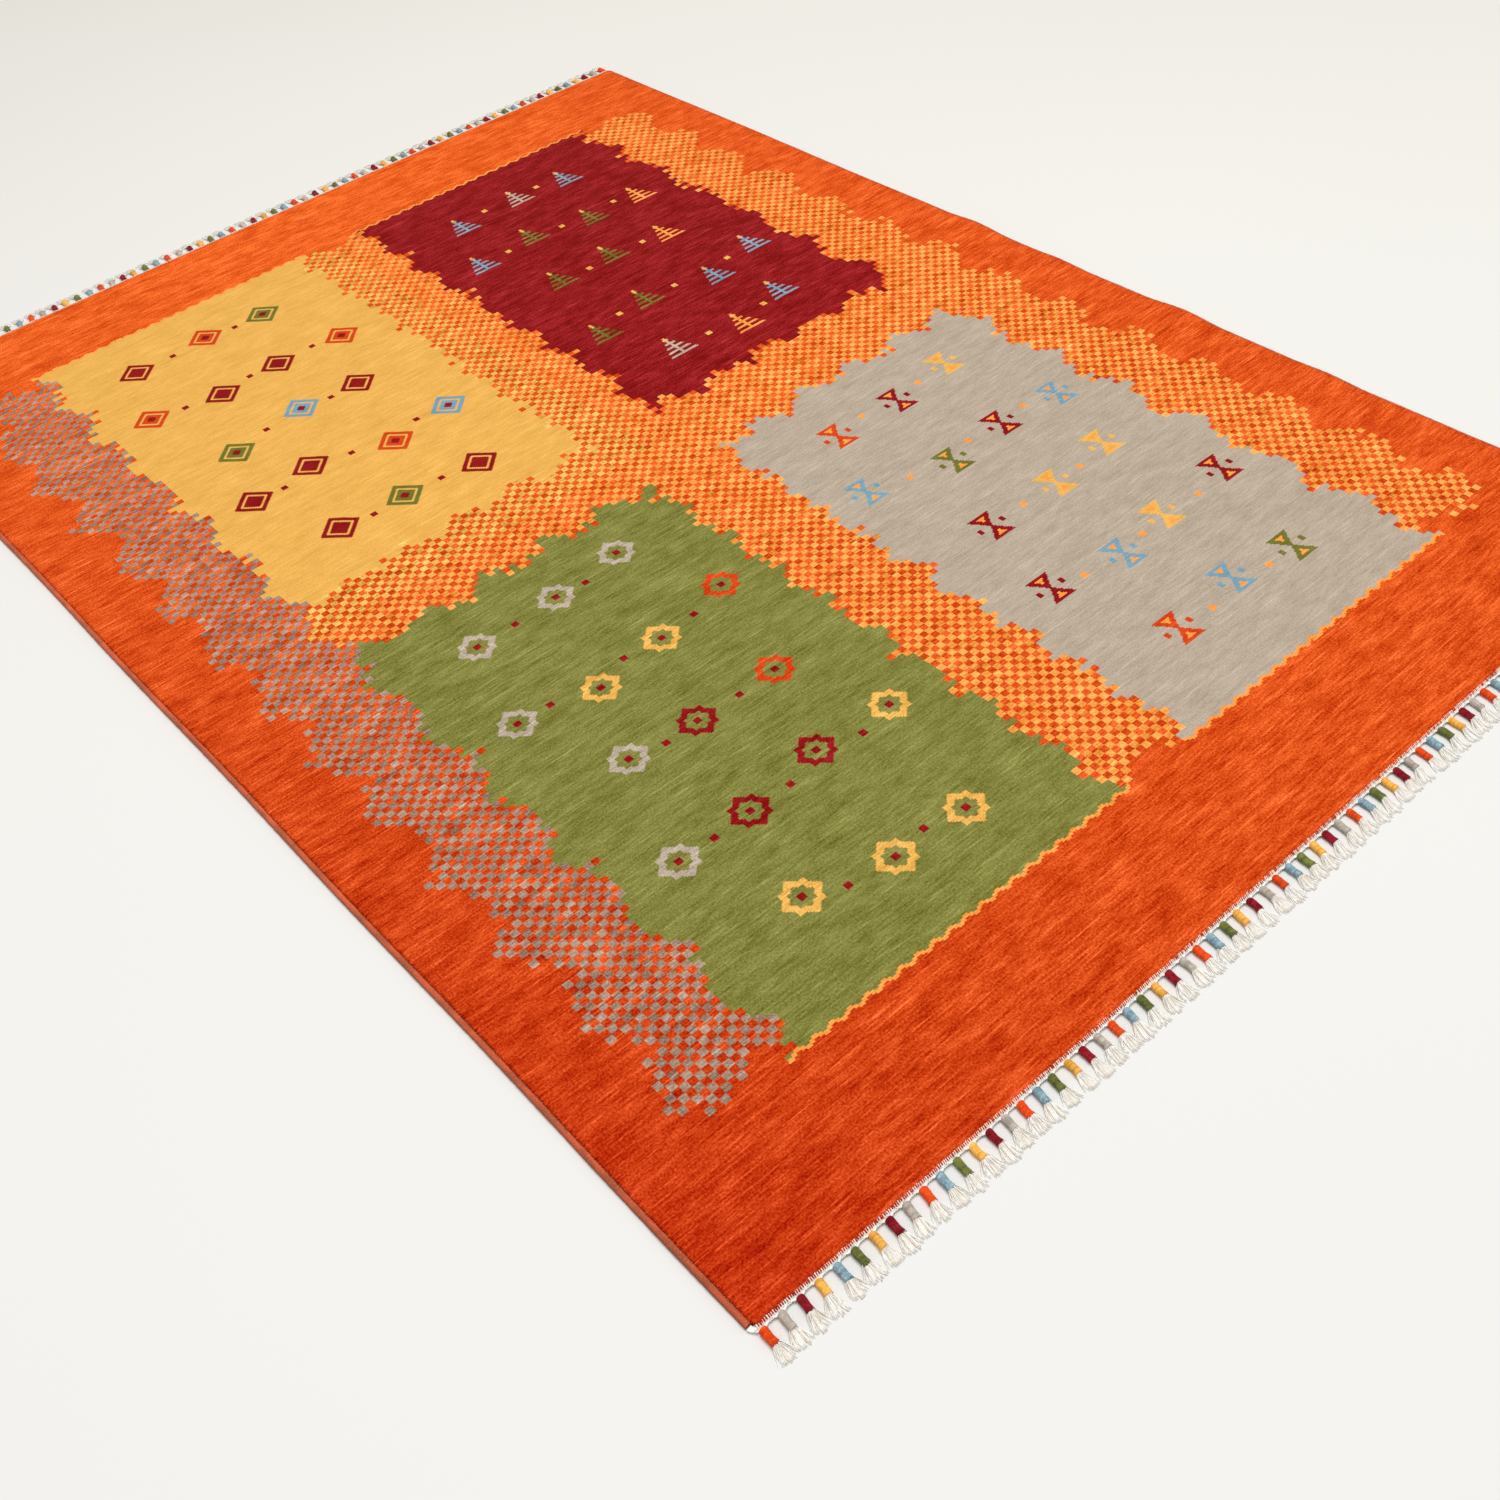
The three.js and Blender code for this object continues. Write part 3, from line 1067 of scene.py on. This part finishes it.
def makeBrushes(end, material):
    kinds = [modelBrush(60 + kind) for kind in range(tassel["kinds"])]
    dice = np.random.default_rng(50 + end)
    bundle = Bundle()
    corePoints, coreFaces = modelCore()
    for i in range(tassel["perEnd"]):
        bundle.take(standTassel(corePoints, i, end), coreFaces, 0.2)
        points, faces, shade = kinds[dice.integers(tassel["kinds"])]
        own = points * sizeOf(dice, tassel["brushSizes"])
        bundle.take(standTassel(own, i, end), faces, shade)
    name = "brushes_far" if end > 0 else "brushes_near"
    piece = bundle.makePiece(name)
    piece.data.materials.append(material)
    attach(piece, "root")
    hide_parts("fringe_far" if end > 0 else "fringe_near")
    return piece


# The end strips: warps come out of the pile, are twined, and gather into the tassels

strip = {
    "width": 8.3 * mm,
    "warpRadius": 1.02 * mm,
    "bandThickness": 2.9 * mm,
    "climb": 4.4 * mm,  # its top climbs the pile's edge, and the tufts rest on it
    "climbEnd": 8.2 * mm,
    "climbLength": 6.6 * mm,
    "bandColumns": 425,
    "twineRadius": 0.6 * mm,
    "twineSwing": 0.75 * mm,
    "twineTurn": 6.5 * mm,
    "twineStep": 1.3 * mm,
    "twineLines": [5.7 * mm, 7.2 * mm],
    "twineGreyAndShade": 1.15,  # one strand of the first line is a greyer cotton, darker too as painted shade for the small holes between the stitches
    "bandShade": 0.3,
    "farRise": 0.9,  # the far warps leave the pile this much higher, in millimetres
}
# A warp's course: outward from the pile's edge, height, and the share of its way to the tassel.
warpCourse = [
    (2.5, 8.3, 0.0), (3.2, 7.7, 0.0), (3.9, 7.1, 0.0), (4.9, 6.3, 0.0), (5.8, 5.4, 0.03),
    (6.7, 4.6, 0.15), (7.8, 3.9, 0.36), (9.0, 3.9, 0.62), (10.6, 4.2, 0.75), (13.0, 4.4, 0.8)]


def stripPlace(x, outward, end):
    return lay(x, end * (rug["halfLength"] + rug["seam"] + outward))


def stripTop(outward):
    rise = smooth((strip["climbEnd"] - outward) / strip["climbLength"])
    return strip["bandThickness"] + strip["climb"] * rise


def nearestTassel(x, end):
    order = (rug["halfWidth"] - tassel["first"] - end * x) / tasselPitch
    return np.clip(np.rint(order), 0, tassel["perEnd"] - 1)


def addWarps(bundle, end):
    dice = np.random.default_rng(70 + end)
    reach = pile["halfWidth"] - rimTuft["margin"] + rimTuft["pitch"] / 2  # each lies between two tufts
    x = np.arange(-reach, reach + rimTuft["pitch"], rimTuft["pitch"])
    count = len(x)
    x = x + dice.normal(0, 0.25 * mm, count)
    gathered = end * (rug["halfWidth"] - tassel["first"] - nearestTassel(x, end) * tasselPitch)
    outward, height, share = (np.array(column)[None, :] for column in zip(*warpCourse))
    outward = (outward + dice.normal(0, 0.15, (count, 1))) * mm
    ragged = dice.normal(0, 0.4, (count, 1)) * np.exp(-np.arange(len(warpCourse))[None, :])
    away = (gathered - x)[:, None]
    alongX = x[:, None] + away * share
    rise = strip["farRise"] * (end > 0) * smooth((6 - outward / mm) / 4)
    z = (height + rise + ragged + dice.normal(0, 0.15, (count, 1))) * mm
    z = z + np.abs(away) / (12 * mm) * 0.5 * mm * share
    placeX, placeY = stripPlace(alongX, outward, end)
    thick = strip["warpRadius"] * dice.uniform(0.85, 1.15, (count, 1))
    radii = np.broadcast_to(thick, alongX.shape).copy()
    radii[:, 0] *= 0.6
    paths = np.stack([placeX, placeY, z + lift(alongX, placeY)], axis=2)
    points, faces = tubes(paths, radii, 4)
    rings = len(warpCourse)
    bundle.take(points, faces, np.repeat(dice.uniform(0, 0.55, count), rings * 4))


def addTwine(bundle, end):
    reach = rug["halfWidth"] - 5 * mm
    x = np.arange(-reach, reach, strip["twineStep"])
    for line, out in enumerate(strip["twineLines"]):
        for strand in (0, 1):
            turn = 2 * np.pi * x / strip["twineTurn"] + np.pi * strand + line
            swing = strip["twineSwing"]
            placeX, placeY = stripPlace(x, out + swing * np.cos(turn), end)
            z = stripTop(out) + 1.0 * mm + swing * np.sin(turn)
            radii = np.full((1, len(x)), strip["twineRadius"])
            points, faces = tubes(np.stack([placeX, placeY, z], axis=1)[None], radii, 4)
            # one strand of the first line is greyer: its own colour, and painted shade for the small
            # holes between stitches
            bundle.take(points, faces, strip["twineGreyAndShade"] * (1 - line) * strand)


def addBand(bundle, end):
    deselectAll()
    bpy.ops.mesh.primitive_grid_add(x_subdivisions=strip["bandColumns"], y_subdivisions=5, size=2)
    bpy.ops.object.mode_set(mode="EDIT")
    bpy.ops.mesh.select_all(action="SELECT")
    bpy.ops.mesh.extrude_region_move(TRANSFORM_OT_translate={"value": (0, 0, strip["bandThickness"])})
    bpy.ops.mesh.select_all(action="SELECT")
    bpy.ops.mesh.normals_make_consistent(inside=False)
    bpy.ops.object.mode_set(mode="OBJECT")
    piece = bpy.context.object
    unit = readPoints(piece)
    x = unit[:, 0] * (rug["halfWidth"] - 1.5 * mm)
    gathered = end * (rug["halfWidth"] - tassel["first"] - nearestTassel(x, end) * tasselPitch)
    between = np.clip(np.abs(x - gathered) / (tasselPitch / 2), 0, 1)
    outer = strip["width"] - 0.6 * mm - 1.7 * mm * between
    outer = outer * smooth((rug["halfWidth"] + 1 * mm - np.abs(x)) / (9 * mm))
    share = (unit[:, 1] * end + 1) / 2
    outward = -0.4 * mm + (outer + 0.4 * mm) * share ** 1.2
    placeX, placeY = stripPlace(x, outward, end)
    atCord = smooth((pile["halfWidth"] - np.abs(x)) / (6 * mm))
    top = unit[:, 2] + (stripTop(outward) - strip["bandThickness"]) * atCord
    z = np.where(unit[:, 2] > 0, top + 0.15 * mm * lattice(x, placeY, 2 * mm, 90), 0.05 * mm)
    bundle.take(np.column_stack([placeX, placeY, z]), readFaces(piece), strip["bandShade"])
    discard(piece)


# At each corner a few thick strands sweep from the cord's end round to the nearest tassel.
cornerStrands = {
    "count": 4,
    "radius": 0.95 * mm,
    "spacing": 1.5 * mm,
    "inset": 1.3 * mm,  # how far inside the cord's outer side the first one starts
    "start": -1.5 * mm,  # how far out of the pile's edge they start, and how far they swing out
    "swing": 9.5 * mm,
    "height": 3.2 * mm,
    "rise": 1.0 * mm,
}


def addCorners(bundle, end):
    for side in (-1, 1):
        gathered = end * (rug["halfWidth"] - tassel["first"] - nearestTassel(side, end) * tasselPitch)
        for strand in range(cornerStrands["count"]):
            inner = strand * cornerStrands["spacing"]
            corner = side * (rug["halfWidth"] - cornerStrands["inset"] - inner)
            t = np.linspace(0, 1, 9)
            sweep = smooth(t)
            x = corner + (gathered + side * 1.5 * mm - corner) * sweep ** 1.3
            swing = cornerStrands["swing"] - 0.6 * inner
            outward = cornerStrands["start"] + swing * np.sin(t * np.pi / 2)
            outward = outward + 2.5 * mm * np.maximum(t - 0.75, 0) / 0.25
            z = cornerStrands["height"] + 0.5 * mm * strand * (1 - t) + cornerStrands["rise"] * t
            placeX, placeY = stripPlace(x, outward, end)
            radii = np.full((1, len(t)), cornerStrands["radius"])
            points, faces = tubes(np.stack([placeX, placeY, z], axis=1)[None], radii, 6)
            bundle.take(points, faces, 0.2 * strand)


def makeStrip(end, material):
    bundle = Bundle()
    addBand(bundle, end)
    addWarps(bundle, end)
    addTwine(bundle, end)
    addCorners(bundle, end)
    piece = bundle.makePiece("end_strip_far" if end > 0 else "end_strip_near")
    piece.data.materials.append(material)
    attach(piece, "root")
    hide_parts("fringe_far" if end > 0 else "fringe_near")
    return piece


cottonYarn = cottonFinish()
brushes = [makeBrushes(end, cottonYarn) for end in (-1, 1)]
strips = [makeStrip(end, cottonYarn) for end in (-1, 1)]
print("the cotton has", sum(len(piece.data.polygons) for piece in brushes + strips), "faces")
